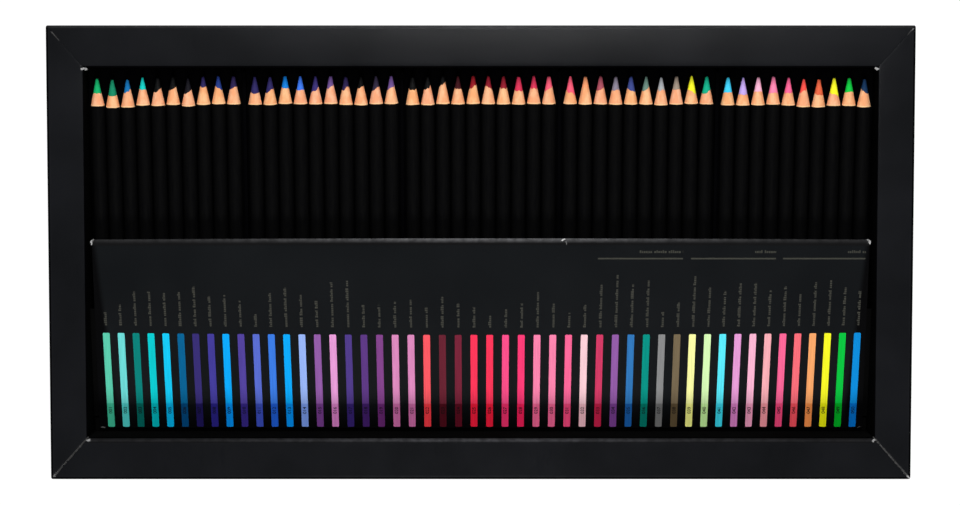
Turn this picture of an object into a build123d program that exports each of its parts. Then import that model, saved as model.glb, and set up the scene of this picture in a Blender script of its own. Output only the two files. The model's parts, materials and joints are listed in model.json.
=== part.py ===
from build123d import *
from math import asin, atan2, cos, degrees, sin, sqrt, tan
import os

# A shallow pencil drawer of folded black paperboard. It lies flat with its open face up.
# X runs left to right, Y from the front wall (pencil butts) to the back wall (pencil tips),
# Z up. The origin is the centre of the underside. All sizes are in millimetres.

# Tray
BOX_HEIGHT = 45.0  # underside to rim face
RIM_SIDE = 18.7  # width of the left and right rim bands
RIM_END = 21.0  # width of the front and back rim bands
BOARD = 1.5  # thickness of every paperboard piece
MITRE_GAP = 0.3  # open seam between two rim bands
RIM_FOLD_RADIUS = 1.2  # outer fold of the rim
WELL_FOLD_RADIUS = 0.5  # inner fold of the rim
SHELL_CORNER_RADIUS = 0.9
BOARD_FIT = 0.3  # loose fit of a board laid between the walls

# Pencils
PENCIL_DIAMETER = 7.0
PENCIL_LENGTH = 175.0
SHARPENED_LENGTH = 13.8  # painted edge to point
LEAD_DIAMETER = 3.3
POINT_RADIUS = 0.7
LEAD_GLUE = 0.02  # glue line round the lead
BUTT_CHAMFER = 0.4
SHORTER = (  # how much shorter than the longest each sharpened pencil is, by bay
    (1.2, 2.0, 1.8, 0.8, 1.0, 0.5, 1.2, 0.4, 0.1, 0.2),
    (0.4, 0.5, 0.0, 0.1, 0.2, 0.0, 0.5, 0.6, 0.1, 0.0),
    (0.5, 0.6, 0.1, 0.2, 0.0, 0.1, 0.2, 0.3, 0.0, 0.2),
    (0.1, 0.3, 0.2, 0.4, 0.3, 0.3, 0.7, 0.3, 0.0, 0.2),
    (0.7, 0.8, 0.7, 0.3, 0.8, 1.6, 1.7, 1.0, 1.0, 1.6),
)

# Rows
BAYS = len(SHORTER)
PENCILS_PER_BAY = len(SHORTER[0])
PENCIL_GAP = 0.62  # between neighbouring barrels
BAY_GAP = 3.1  # more space between two bays
SIDE_GAP = 1.65  # outer barrels to the side walls
TIP_GAP = 4.0  # longest point to the back wall
BUTT_CLEARANCE = 1.2  # room for a butt to turn in front of its stop
SEAT_GAP = 0.3  # barrels to the bed

# Bed and what stands on it
BED_FOOT = 6.7  # height of the bed's front edge over the base
TIP_DEPTH = 10.0  # axis of the longest pencil at its point, below the rim face
DIVIDER_THICKNESS = 1.5
DIVIDER_HEIGHT = 3.6
DIVIDER_END_GAP = 2.0
RISER_THICKNESS = 3.0
RISER_END_GAP = 1.0
BUTT_STOP_DEPTH = 7.1

# Index panel over the lower half of the pencils
PANEL_LENGTH = 100.2  # along its slope
PANEL_TOP_DEPTH = 4.0  # upper edge below the rim face
PANEL_FOOT_RISE = 5.0  # lower edge above the butts
PANEL_FRONT_GAP = 1.9
PANEL_SIDE_GAP = 2.55
HEM_RADIUS = 0.6
CLEAT_LAND = 3.0  # how far the panel overlaps a cleat
CLEAT_END_GAP = 1.0
CLEAT_SETBACK = 36.0  # from the panel's upper edge, so that the outer pencils can tilt

# Worked out from the sizes above
PITCH = PENCIL_DIAMETER + PENCIL_GAP
BAY_PITCH = PENCILS_PER_BAY * PITCH + BAY_GAP
ROW_SPAN = (BAYS - 1) * BAY_PITCH + (PENCILS_PER_BAY - 1) * PITCH
RADIUS = PENCIL_DIAMETER / 2
WELL_LENGTH = ROW_SPAN + PENCIL_DIAMETER + 2 * SIDE_GAP
BUTT_Z = BOARD + BED_FOOT + BOARD + SEAT_GAP + RADIUS
SLOPE = asin((BOX_HEIGHT - TIP_DEPTH - BUTT_Z) / PENCIL_LENGTH)
WELL_DEPTH = BUTT_STOP_DEPTH + BUTT_CLEARANCE + PENCIL_LENGTH * cos(SLOPE) + TIP_GAP
BOX_LENGTH = WELL_LENGTH + 2 * RIM_SIDE
BOX_DEPTH = WELL_DEPTH + 2 * RIM_END
WALL_TOP = BOX_HEIGHT - BOARD
FRONT = -WELL_DEPTH / 2
BACK = WELL_DEPTH / 2
SIDE = WELL_LENGTH / 2
BUTT_Y = FRONT + BUTT_STOP_DEPTH + BUTT_CLEARANCE

PANEL_TOP_Z = BOX_HEIGHT - PANEL_TOP_DEPTH
PANEL_FOOT_Y = FRONT + PANEL_FRONT_GAP
PANEL_FOOT_Z = BUTT_Z + RADIUS + PANEL_FOOT_RISE
PANEL_RUN = sqrt(PANEL_LENGTH**2 - (PANEL_TOP_Z - PANEL_FOOT_Z) ** 2)
PANEL_SLOPE = atan2(PANEL_TOP_Z - PANEL_FOOT_Z, PANEL_RUN)
PANEL_TOP_Y = PANEL_FOOT_Y + PANEL_RUN


def bed_top(y):
    """Height of the bed's upper face at y."""
    return BUTT_Z + (y - BUTT_Y) * tan(SLOPE) - (RADIUS + SEAT_GAP) / cos(SLOPE)


def bed_under(y):
    """Height of the bed's lower face at y."""
    return bed_top(y) - BOARD / cos(SLOPE)


def panel_under(y):
    """Height of the index panel's lower face at y."""
    upper = PANEL_FOOT_Z + (y - PANEL_FOOT_Y) * tan(PANEL_SLOPE)
    return upper - BOARD / cos(PANEL_SLOPE)


def between(low, high, lower, upper):
    """Outline in (y, z) from y low to y high, between two heights that depend on y."""
    return [(low, lower(low)), (high, lower(high)), (high, upper(high)), (low, upper(low))]


def strip(outline, x_low, x_high):
    """A prism along X over an outline given as (y, z) points."""
    face = make_face(Polyline(*[(x_low, y, z) for y, z in outline], close=True))
    return extrude(face, amount=x_high - x_low, dir=(1, 0, 0))


def block(x_low, x_high, y_low, y_high, z_low, z_high):
    """A box between two corners."""
    size = (x_high - x_low, y_high - y_low, z_high - z_low)
    middle = ((x_low + x_high) / 2, (y_low + y_high) / 2, (z_low + z_high) / 2)
    return Pos(*middle) * Box(*size)


def tray_shell():
    """Base and four outer walls, folded up from one board."""
    x, y = BOX_LENGTH / 2, BOX_DEPTH / 2
    outside = block(-x, x, -y, y, 0, WALL_TOP)
    outside = fillet(outside.edges().filter_by(Axis.Z), SHELL_CORNER_RADIUS)
    inside = block(-x + BOARD, x - BOARD, -y + BOARD, y - BOARD, BOARD, BOX_HEIGHT)
    return outside - inside


def long_edge(band, in_front):
    """The upper edge along X that lies furthest to the front, or to the back."""
    upper = band.edges().group_by(Axis.Z)[-1].filter_by(Axis.X).sort_by(Axis.Y)
    return upper[0] if in_front else upper[-1]


def rim_band(outer_half, inner_half, outer_edge, inner_edge):
    """One rim band along X, mitred at both ends, with its folds on the two long edges."""
    run = outer_half - inner_half
    rise = abs(outer_edge - inner_edge)
    shift = MITRE_GAP / 2 / sin(atan2(rise, run))
    outline = [
        (-outer_half + shift, outer_edge),
        (outer_half - shift, outer_edge),
        (inner_half - shift, inner_edge),
        (-inner_half + shift, inner_edge),
    ]
    face = make_face(Polyline(*[(x, y, WALL_TOP) for x, y in outline], close=True))
    band = extrude(face, amount=BOARD, dir=(0, 0, 1))
    outer_in_front = outer_edge < inner_edge
    band = fillet(long_edge(band, outer_in_front), min(RIM_FOLD_RADIUS, 0.8 * BOARD))
    return fillet(long_edge(band, not outer_in_front), min(WELL_FOLD_RADIUS, 0.4 * BOARD))


def rim_bands():
    """Four mitred bands that close the hollow walls from above."""
    front = rim_band(BOX_LENGTH / 2, SIDE, -BOX_DEPTH / 2, FRONT)
    back = rim_band(BOX_LENGTH / 2, SIDE, BOX_DEPTH / 2, BACK)
    quarter = Rot(0, 0, 90)
    right = quarter * rim_band(BOX_DEPTH / 2, BACK, -BOX_LENGTH / 2, -SIDE)
    left = quarter * rim_band(BOX_DEPTH / 2, BACK, BOX_LENGTH / 2, SIDE)
    return Compound([front, back, left, right])


def inner_walls():
    """Four boards round the well. The front and back ones run past the side ones."""
    long_half = SIDE + BOARD
    return Compound([
        block(-long_half, long_half, FRONT - BOARD, FRONT, BOARD, WALL_TOP),
        block(-long_half, long_half, BACK, BACK + BOARD, BOARD, WALL_TOP),
        block(-long_half, -SIDE, FRONT, BACK, BOARD, WALL_TOP),
        block(SIDE, long_half, FRONT, BACK, BOARD, WALL_TOP),
    ])


def pencil_bed():
    """Sloping board that the pencils lie on, low at the butts."""
    low, high = FRONT + BOARD_FIT, BACK - BOARD_FIT
    outline = between(low, high, bed_under, bed_top)
    return strip(outline, -SIDE + BOARD_FIT, SIDE - BOARD_FIT)


def divider_places():
    """Where the bays part, along X."""
    first_bay_end = -ROW_SPAN / 2 + (PENCILS_PER_BAY - 1) * PITCH
    return [first_bay_end + n * BAY_PITCH + (PITCH + BAY_GAP) / 2 for n in range(BAYS - 1)]


def bay_dividers():
    """Low strips on the bed that keep the bays apart."""
    low, high = BUTT_Y, BACK - DIVIDER_END_GAP
    rise = DIVIDER_HEIGHT / cos(SLOPE)
    outline = between(low, high, bed_top, lambda y: bed_top(y) + rise)
    half = DIVIDER_THICKNESS / 2
    return Compound([strip(outline, x - half, x + half) for x in divider_places()])


def bed_risers():
    """Wedge-shaped ribs that carry the bed over the base."""
    low, high = FRONT + RISER_END_GAP, BACK - RISER_END_GAP
    outline = between(low, high, lambda y: BOARD, bed_under)
    half = RISER_THICKNESS / 2
    places = [-ROW_SPAN / 2] + divider_places() + [ROW_SPAN / 2]
    return Compound([strip(outline, x - half, x + half) for x in places])


def butt_stop():
    """Ledge across the front that stops the butts and carries the panel's lower edge."""
    low, high = FRONT + BOARD_FIT, FRONT + BUTT_STOP_DEPTH
    outline = between(low, high, bed_top, panel_under)
    return strip(outline, -SIDE + BOARD_FIT, SIDE - BOARD_FIT)


def index_panel():
    """Sloping card over the lower half of the pencils, with a rounded hem at its upper edge."""
    half = SIDE - PANEL_SIDE_GAP
    sheet = block(-half, half, 0, PANEL_LENGTH, -BOARD, 0)
    hem = sheet.edges().filter_by(Axis.X).group_by(Axis.Y)[-1]
    sheet = fillet(hem, min(HEM_RADIUS, 0.4 * BOARD))
    return Pos(0, PANEL_FOOT_Y, PANEL_FOOT_Z) * Rot(degrees(PANEL_SLOPE), 0, 0) * sheet


def panel_cleats():
    """Two strips on the side walls that the panel's edges are glued to."""
    low = FRONT + BUTT_STOP_DEPTH + CLEAT_END_GAP
    high = PANEL_TOP_Y - CLEAT_SETBACK
    drop = BOARD / cos(PANEL_SLOPE)
    outline = between(low, high, lambda y: panel_under(y) - drop, panel_under)
    reach = PANEL_SIDE_GAP + CLEAT_LAND
    return Compound([strip(outline, -SIDE, -SIDE + reach), strip(outline, SIDE - reach, SIDE)])


def pencil_place(index):
    """X of a pencil's axis, counted from 0 at the left."""
    bay, seat = divmod(index, PENCILS_PER_BAY)
    return -ROW_SPAN / 2 + bay * BAY_PITCH + seat * PITCH


def pencil_length(index):
    """Length of one pencil."""
    bay, seat = divmod(index, PENCILS_PER_BAY)
    return PENCIL_LENGTH - SHORTER[bay][seat]


def turned(outline):
    """A solid of revolution about Z from (radius, height) points."""
    face = make_face(Polyline(*[(r, 0, z) for r, z in outline], close=True))
    return revolve(face, Axis.Z)


def pencil(index):
    """A round pencil of two solids: the wooden casing and the lead glued in its bore."""
    length = pencil_length(index)
    painted = length - SHARPENED_LENGTH
    lead = LEAD_DIAMETER / 2
    bore = lead + LEAD_GLUE
    taper = (RADIUS - POINT_RADIUS) / SHARPENED_LENGTH
    casing = turned([
        (bore, 0),
        (RADIUS - BUTT_CHAMFER, 0),
        (RADIUS, BUTT_CHAMFER),
        (RADIUS, painted),
        (bore, painted + (RADIUS - bore) / taper),
    ])
    core = turned([
        (0, 0),
        (lead, 0),
        (lead, painted + (RADIUS - lead) / taper),
        (POINT_RADIUS, length),
        (0, length),
    ])
    lie_down = Rot(degrees(SLOPE) - 90, 0, 0)
    return Pos(pencil_place(index), BUTT_Y, BUTT_Z) * lie_down * Compound([casing, core])


def all_parts():
    """Every node of the drawer by name."""
    parts = {
        "tray_shell": tray_shell(),
        "rim_bands": rim_bands(),
        "inner_walls": inner_walls(),
        "pencil_bed": pencil_bed(),
        "bay_dividers": bay_dividers(),
        "bed_risers": bed_risers(),
        "butt_stop": butt_stop(),
        "index_panel": index_panel(),
        "panel_cleats": panel_cleats(),
    }
    for index in range(BAYS * PENCILS_PER_BAY):
        parts[f"pencil_{index + 1:02d}"] = pencil(index)
    return parts


os.makedirs("parts", exist_ok=True)
for name, shape in all_parts().items():
    export_step(shape, f"parts/{name}.step")
print(f"outside {BOX_LENGTH:.2f} x {BOX_DEPTH:.2f} x {BOX_HEIGHT:.2f}")
print(f"well {WELL_LENGTH:.2f} x {WELL_DEPTH:.2f}")
print(f"pencils slope {degrees(SLOPE):.2f} deg from y {BUTT_Y:.2f} z {BUTT_Z:.2f}")
print(f"panel slopes {degrees(PANEL_SLOPE):.2f} deg up to y {PANEL_TOP_Y:.2f} z {PANEL_TOP_Z:.2f}")
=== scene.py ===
"""The looks of a shallow black pencil drawer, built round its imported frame.

X runs left to right, Y from the pencil butts to the tips, Z up. Lengths are in metres, so sizes
in millimetres are multiplied by MM. Tones are written as 0-255 sRGB.
"""

import json
import math
import random

import bpy
from mathutils import Matrix, Vector, noise

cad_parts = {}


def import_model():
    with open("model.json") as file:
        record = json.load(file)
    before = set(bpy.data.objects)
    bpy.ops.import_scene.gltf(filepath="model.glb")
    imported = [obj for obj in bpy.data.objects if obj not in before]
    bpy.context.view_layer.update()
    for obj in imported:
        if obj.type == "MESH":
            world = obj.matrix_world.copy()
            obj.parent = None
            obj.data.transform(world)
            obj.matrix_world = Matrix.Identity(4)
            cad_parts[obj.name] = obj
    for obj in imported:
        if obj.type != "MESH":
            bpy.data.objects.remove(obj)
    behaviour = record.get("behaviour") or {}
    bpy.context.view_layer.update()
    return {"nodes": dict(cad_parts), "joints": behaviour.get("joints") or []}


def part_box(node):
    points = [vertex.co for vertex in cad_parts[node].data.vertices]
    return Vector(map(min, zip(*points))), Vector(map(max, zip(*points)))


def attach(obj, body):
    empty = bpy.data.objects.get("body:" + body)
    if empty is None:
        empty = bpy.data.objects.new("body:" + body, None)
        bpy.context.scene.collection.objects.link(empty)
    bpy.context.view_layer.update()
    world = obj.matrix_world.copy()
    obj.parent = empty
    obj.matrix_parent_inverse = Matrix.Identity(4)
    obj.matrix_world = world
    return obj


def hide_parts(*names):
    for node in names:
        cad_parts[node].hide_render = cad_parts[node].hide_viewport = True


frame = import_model()

MM = 0.001
NODES = frame["nodes"]

# Camera, worked out from the photograph
CAMERA_TARGET = Vector((-0.38, 0.66, 45.0)) * MM
CAMERA_DISTANCE = 1200 * MM
CAMERA_TILT = math.radians(3.84)
CAMERA_LENS = 89.86

# Lamps: place, aim, size and power. Two broad ones stand in line with the pencils, and a small
# one near where the back of the rim mirrors the camera
LAMPS = {
    "lamp_back": ((0, 1.25, 1.45), (0, 0, 0), (0.7, 0.6), 32),
    "lamp_front": ((0, -1.5, 1.5), (0, 0, 0), (1.0, 0.6), 23.5),
    "lamp_glow": ((0.06, 0.38, 1.3), (0.04, 0.1, 0), (0.16, 0.12), 1.85),
}

# Floor and world
FLOOR_HALF = 12.0
FLOOR_DROP = 0.3 * MM
FLOOR_GLOW = 1.08
FLOOR_GLOW_SHARE = 0.9
WORLD_FADE = (0.12, 0.32)

# Black papers: darkest and lightest tone, range of roughness, specular level, tone of a painted highlight
PAPERS = {
    "black_paper": ((15, 16, 18), (19, 20, 23), (0.27, 0.32), 0.3, None),
    # The rim's face: a painted highlight beside its outer fold, where the mesh's tint says so.
    "rim_paper": ((15, 16, 18), (19, 20, 23), (0.22, 0.26), 0.3, (33, 34, 36)),
    # Folds that turn from the light: darker and glossless, as painted shade.
    "fold_painted_shade": ((3, 3, 4), (6, 6, 7), (0.7, 0.8), 0.0, None),
    # Front and back folds: darker than the face, with a painted highlight along them where the mesh's tint
    # says so.
    "front_fold": ((8, 8, 9), (11, 11, 12), (0.6, 0.7), 0.04, (60, 60, 63)),
    "back_fold": ((8, 8, 9), (11, 11, 12), (0.5, 0.6), 0.1, (50, 50, 52)),
    # The card's curled upper edge: darker than the card, with a painted highlight along it.
    "card_hem": ((12, 12, 13), (16, 16, 17), (0.6, 0.7), 0.05, (98, 98, 100)),
    # Walls and floor of the well: darker than the face paper and glossless, as painted shade of the well.
    "well_wall_painted_shade": ((6, 6, 6), (9, 9, 9), (0.8, 0.9), 0.0, None),
    "well_floor_painted_shade": ((3, 3, 4), (4, 4, 5), (0.8, 0.9), 0.0, None),
}
CLOUD_SIZE = 45 * MM
FIBRE_SIZE = 0.35 * MM
PAPER_RELIEF = 0.012 * MM

# The paper on each node that stays as it is
NODE_PAPERS = {
    "tray_shell": "black_paper",
    "inner_walls": "well_wall_painted_shade",
    "pencil_bed": "well_floor_painted_shade",
    "bay_dividers": "well_floor_painted_shade",
    "bed_risers": "well_floor_painted_shade",
    "butt_stop": "well_wall_painted_shade",
    "panel_cleats": "well_wall_painted_shade",
}

# Rim
OUTER_FOLD = 1.2 * MM
FRONT_INNER_FOLD = 2.3 * MM
BACK_INNER_FOLD = 0.9 * MM
SIDE_INNER_FOLD = 0.5 * MM
FOLD_STEPS = 8
# Painted highlight beside the outer fold: its share at distances beyond the fold
FOLD_HIGHLIGHT = ((0.15 * MM, 1), (0.5 * MM, 0.8), (0.9 * MM, 0))
FLAT_START = 1.5 * MM
FLAT_STEPS = 8
# How a painted highlight fades towards the ends of a band
HIGHLIGHT_SPREAD = 102 * MM
RIM_LEAST_HIGHLIGHT = 0.2
RIM_CORNER = 1.5 * MM
CORNER_NOTCH = 0.35 * MM
NOTCH_DEPTH = 1.7 * MM
FRONT_SEAM = 0.3 * MM
BACK_SEAM = 0.06 * MM
SEAM_DIP = 0.5
SEAM_DIP_SPREAD = 0.5 * MM
RIM_CROWN = 0.12 * MM
RIM_WAVE = 0.06 * MM
WAVE_LENGTH = 70 * MM
BAND_END = 14 * MM
BAND_STEPS = 72

# Worn seams and bare spots
SEAM_START = 1.5 * MM
SEAM_LIFT = 0.02 * MM
SPOT_LIFT = 0.05 * MM
SPOT_SINK = 0.3 * MM
WEAR_SEED = 5

# Pencils
RADIUS = 3.5 * MM
LEAD_RADIUS = 1.65 * MM
LEAD_GLUE = 0.02 * MM
POINT_RADIUS = 0.7 * MM
SHARPENED_LENGTH = 13.8 * MM
BORE_END = 2 * MM
SEGMENTS = 36
BUTT_ROUND = 0.4 * MM
BUTT_EASE = 0.12 * MM
PAINT_WAVE = 0.16 * MM
PAINT_TAPER = 0.25 * MM
PAINT_DEPTH = 0.03 * MM
WOOD_TILT = 1.1 * MM
WOOD_WAVE = 0.9 * MM
WOOD_SINK = 0.04 * MM
WOOD_RELIEF = 0.03 * MM
LEAD_SINK = 0.09 * MM
LEAD_RELIEF = 0.07 * MM
# Where wood meets lead: how far below the cone and behind its edge each turns inwards
LIP_SINK, LIP_SETBACK = 0.17 * MM, 0.04 * MM
ROOT_SINK, ROOT_SETBACK = 0.24 * MM, 0.15 * MM
SHARP_ANGLE = 40
PENCIL_SEED = 100

# Index panel
PANEL_BOARD = 1.5 * MM
PANEL_STEPS = 60
PANEL_HEM = 0.4 * MM
HEM_RUN = 4.0 * MM
HEM_DROP = 1.25 * MM
HEM_BOW = 0.6 * MM
# Painted highlight along the card's curled edge: how far down it reaches, and its least share at the ends
HEM_HIGHLIGHT_DEPTH = 2.1 * MM
HEM_LEAST_HIGHLIGHT = 0.12

# Print on the panel
PRINT_BOW = 2.3 * MM
INK = 0.03 * MM
INK_SINK = 0.2 * MM
# Painted shade on the card: darker towards its foot and along its two sides, the sides narrowing up the
# slope
PAINTED_SHADE_HIGH = 16.0 * MM
PAINTED_SHADE_LOW = 2.0 * MM
PAINTED_SHADE_SLANT = 0.09
PAINTED_SHADE_FADE = 2.5 * MM
STRIP_WIDTH = 3.45 * MM
STRIP_CORNER = 0.5 * MM
CORNER_SHAPE = ((0, 1), (0.3, 0.3), (1, 0))
STRIP_LOW = 0.7 * MM
STRIP_CODE = 13.4 * MM
STRIP_HIGH = 51.0 * MM
STRIP_FIRST = -190.1 * MM
STRIP_LAST = 191.2 * MM
STRIP_FAN = 0.9955
STRIP_SWAY = 1.4 * MM
TOP_SWAY = 0.5 * MM
FOOT_SHADE = 0.95
FOOT_DEPTH = 1.3
NUMBER_PLACE = 9.7 * MM
NUMBER_SIZE = 2.5 * MM
NUMBER_WEIGHT = 0.03 * MM
NUMBER_LIFT = 1.6 * INK
NAME_LOW = 55.0 * MM
NAME_SEED = 11
LETTER_HEIGHT = 1.45 * MM
LETTER_GAP = 0.28 * MM
WORD_GAP = 1.1 * MM
RULE_PLACE = 89.9 * MM
RULE_WIDTH = 0.8 * MM
HEADING_PLACE = 92.8 * MM

# Tones of the leads and the printed strips
PALETTE = {
    # greens and blues
    "mint": (94, 208, 176), "pale aqua": (112, 224, 220), "dark teal": (8, 131, 123),
    "turquoise": (15, 210, 200), "lagoon": (8, 207, 212), "cyan": (20, 205, 250), "deep sea": (5, 100, 150),
    "azure": (8, 172, 254), "cornflower": (60, 125, 230), "periwinkle": (90, 110, 210),
    "ice blue": (154, 184, 250), "blue": (50, 121, 188), "teal green": (12, 174, 136),
    "teal": (4, 147, 133), "river": (10, 142, 222),
    "sky": (65, 212, 252), "grass": (8, 200, 66), "pale lime": (220, 255, 186), "aqua": (92, 238, 255),
    "green": (12, 174, 104), "pine": (14, 136, 98), "strong blue": (16, 112, 176),
    "royal blue": (60, 120, 238), "denim": (60, 74, 142), "sage": (108, 140, 128),
    "navy": (14, 50, 88), "cobalt": (36, 62, 142), "ocean": (14, 128, 222),
    # violets
    "dark violet": (57, 47, 117), "violet blue": (68, 61, 155), "violet": (83, 67, 158),
    "mauve": (148, 93, 168), "orchid": (235, 158, 218), "purple": (94, 57, 132), "dusk": (81, 60, 138),
    "plum": (133, 69, 141), "pink mauve": (222, 138, 190), "lavender": (196, 168, 240),
    "indigo": (44, 38, 96), "dark indigo": (44, 34, 82), "soft violet": (114, 84, 150),
    "lilac grey": (140, 132, 150), "slate violet": (48, 40, 64),
    # reds and pinks
    "coral": (255, 90, 100), "maroon": (105, 35, 50), "burgundy": (120, 36, 57),
    "rose red": (255, 55, 90), "hot pink": (255, 80, 140), "deep pink": (255, 60, 120),
    "blush": (255, 134, 176), "pale pink": (255, 210, 218), "crimson rose": (213, 59, 102),
    "light pink": (255, 185, 214), "salmon": (255, 178, 186), "flamingo": (255, 104, 154),
    "watermelon": (255, 112, 124), "wine": (66, 18, 26),
    "red": (156, 24, 36), "crimson": (148, 26, 44), "raspberry": (218, 52, 88),
    "dusty rose": (174, 82, 98), "bright red": (252, 84, 75), "rose": (250, 94, 122),
    # warm and neutral
    "orange": (255, 172, 108), "vermilion": (232, 102, 66), "peach": (255, 165, 115),
    "yellow": (255, 255, 40), "pale yellow": (255, 255, 168), "taupe": (120, 105, 80),
    "grey": (140, 140, 140), "light grey": (170, 175, 180), "warm grey": (160, 145, 130),
    "soot": (6, 7, 8), "night": (16, 15, 24),
}

LEFT, LEVEL, RIGHT = -1, 0, 1
# Lead, printed strip, share of the sharpened cone that is lead, and the side where it runs lower
PENCILS = (
    ("green", "mint", 0.54, LEVEL),
    ("pine", "pale aqua", 0.58, LEVEL),
    ("strong blue", "dark teal", 0.44, LEFT),
    ("turquoise", "lagoon", 0.45, LEVEL),
    ("soot", "cyan", 0.45, LEFT),
    ("soot", "deep sea", 0.44, LEFT),
    ("night", "dark violet", 0.50, LEFT),
    ("indigo", "violet blue", 0.38, LEVEL),
    ("cobalt", "azure", 0.44, RIGHT),
    ("dark indigo", "violet", 0.44, LEFT),
    ("indigo", "periwinkle", 0.60, LEVEL),
    ("indigo", "cornflower", 0.50, LEFT),
    ("ocean", "azure", 0.44, LEVEL),
    ("royal blue", "ice blue", 0.50, LEVEL),
    ("dark violet", "mauve", 0.50, LEFT),
    ("soft violet", "orchid", 0.40, LEFT),
    ("dark indigo", "dusk", 0.42, LEFT),
    ("soot", "purple", 0.36, LEFT),
    ("slate violet", "plum", 0.46, LEFT),
    ("soft violet", "pink mauve", 0.44, LEFT),
    ("soot", "pink mauve", 0.46, LEVEL),
    ("soot", "coral", 0.40, LEFT),
    ("soot", "maroon", 0.27, LEFT),
    ("wine", "burgundy", 0.45, LEVEL),
    ("red", "rose red", 0.40, LEFT),
    ("crimson", "rose red", 0.42, RIGHT),
    ("crimson", "hot pink", 0.44, LEVEL),
    ("raspberry", "deep pink", 0.51, LEVEL),
    ("raspberry", "blush", 0.45, LEVEL),
    ("rose", "blush", 0.46, LEFT),
    ("rose", "flamingo", 0.60, RIGHT),
    ("peach", "pale pink", 0.40, LEVEL),
    ("dusty rose", "crimson rose", 0.48, LEFT),
    ("lilac grey", "mauve", 0.50, LEVEL),
    ("denim", "blue", 0.50, RIGHT),
    ("sage", "teal", 0.46, LEFT),
    ("light grey", "grey", 0.47, LEVEL),
    ("warm grey", "taupe", 0.46, LEVEL),
    ("yellow", "pale yellow", 0.56, RIGHT),
    ("teal green", "pale lime", 0.56, LEFT),
    ("sky", "aqua", 0.55, LEVEL),
    ("lavender", "orchid", 0.60, LEVEL),
    ("light pink", "light pink", 0.50, LEVEL),
    ("blush", "salmon", 0.60, LEVEL),
    ("flamingo", "flamingo", 0.56, LEVEL),
    ("bright red", "watermelon", 0.43, LEFT),
    ("vermilion", "orange", 0.55, LEVEL),
    ("yellow", "yellow", 0.62, RIGHT),
    ("grass", "grass", 0.51, LEVEL),
    ("navy", "river", 0.45, RIGHT),
)

# Lengths of the plain bars printed above the strips, in millimetres, by bay
NAME_LENGTHS = (
    (8, 11, 18, 19, 18, 18, 21, 16, 17, 14),
    (7, 18, 21, 18, 14, 24, 25, 13, 12, 14),
    (15, 11, 17, 13, 11, 7, 10, 13, 19, 13),
    (8, 12, 23, 28, 23, 25, 8, 13, 27, 21),
    (19, 24, 23, 19, 21, 17, 23, 24, 20, 18),
)
# Left and right end of each printed rule, and where its heading bar starts
RULES = ((59.0, 101.8, 80.0), (105.8, 148.6, 138.0), (152.1, 193.6, 184.7))


# ---- colours and node trees ----

def linear(colour):
    """Linear RGBA of a colour written as 0-255 sRGB."""
    def channel(value):
        share = value / 255
        return share / 12.92 if share <= 0.04045 else ((share + 0.055) / 1.055) ** 2.4
    return (*(channel(value) for value in colour), 1.0)


def node(tree, kind, values=None, **settings):
    """A new node. values gives inputs by name or number: a socket to link or a constant."""
    made = tree.nodes.new(kind)
    for key, value in settings.items():
        setattr(made, key, value)
    for key, value in (values or {}).items():
        if isinstance(value, bpy.types.NodeSocket):
            tree.links.new(value, made.inputs[key])
        else:
            made.inputs[key].default_value = value
    return made


def calc(tree, operation, *values):
    """The result of a maths node. Each value is a socket to link or a constant."""
    return node(tree, "ShaderNodeMath", dict(enumerate(values)), operation=operation).outputs[0]


def attribute(tree, name, output="Fac"):
    """What the mesh stores under a name."""
    return node(tree, "ShaderNodeAttribute", attribute_name=name).outputs[output]


def new_material(name):
    """An empty node material and its tree."""
    material = bpy.data.materials.new(name)
    material.use_nodes = True
    material.node_tree.nodes.clear()
    return material, material.node_tree


def object_place(tree, stretch=(1, 1, 1)):
    """Object coordinates, stretched, as a socket."""
    coordinates = node(tree, "ShaderNodeTexCoord").outputs["Object"]
    if stretch == (1, 1, 1):
        return coordinates
    return node(tree, "ShaderNodeMapping", {"Vector": coordinates, "Scale": stretch}).outputs[0]


def shifted_place(tree, stretch=(1, 1, 1)):
    """Coordinates moved by the mesh's own shift, so that no two pencils share a grain."""
    values = {0: object_place(tree, stretch), 1: attribute(tree, "shift", "Vector")}
    return node(tree, "ShaderNodeVectorMath", values, operation="ADD").outputs[0]


def ranged(tree, value, target, source=(0, 1)):
    """A value moved from the source range to the target range, clamped."""
    limits = {"From Min": source[0], "From Max": source[1], "To Min": target[0], "To Max": target[1]}
    return node(tree, "ShaderNodeMapRange", {"Value": value, **limits}).outputs["Result"]


def grain(tree, place, size, detail=3.0, contrast=(0.35, 0.65)):
    """Noise from 0 to 1 whose marks are about size metres wide."""
    raw = node(tree, "ShaderNodeTexNoise", {"Vector": place, "Scale": 1 / size, "Detail": detail})
    return ranged(tree, raw.outputs["Fac"], (0, 1), contrast)


def blend(tree, factor, first, second):
    """Two colours mixed by a factor."""
    values = {0: factor, 6: first, 7: second}
    return node(tree, "ShaderNodeMix", values, data_type="RGBA").outputs[2]


def total(tree, first, second, share):
    """first plus share times second."""
    return calc(tree, "MULTIPLY_ADD", second, share, first)


def surface(tree, colour, roughness, relief, height, specular):
    """A plain opaque surface with bump."""
    bump = node(tree, "ShaderNodeBump", {"Height": relief, "Distance": height, "Strength": 1.0})
    values = {"Base Color": colour, "Roughness": roughness, "Specular IOR Level": specular}
    shader = node(tree, "ShaderNodeBsdfPrincipled", {**values, "Normal": bump.outputs[0]})
    node(tree, "ShaderNodeOutputMaterial", {"Surface": shader.outputs[0]})


# ---- materials ----

def paper(tree, place, dark, light, thread):
    """The cloud and fibre marks of black paper, and its colour with threads of a paler tone."""
    cloud = grain(tree, place, CLOUD_SIZE)
    fibre = grain(tree, place, FIBRE_SIZE, detail=4)
    colour = blend(tree, cloud, linear(dark), linear(light))
    return cloud, fibre, blend(tree, ranged(tree, fibre, (0, 0.25)), colour, linear(thread))


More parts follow.
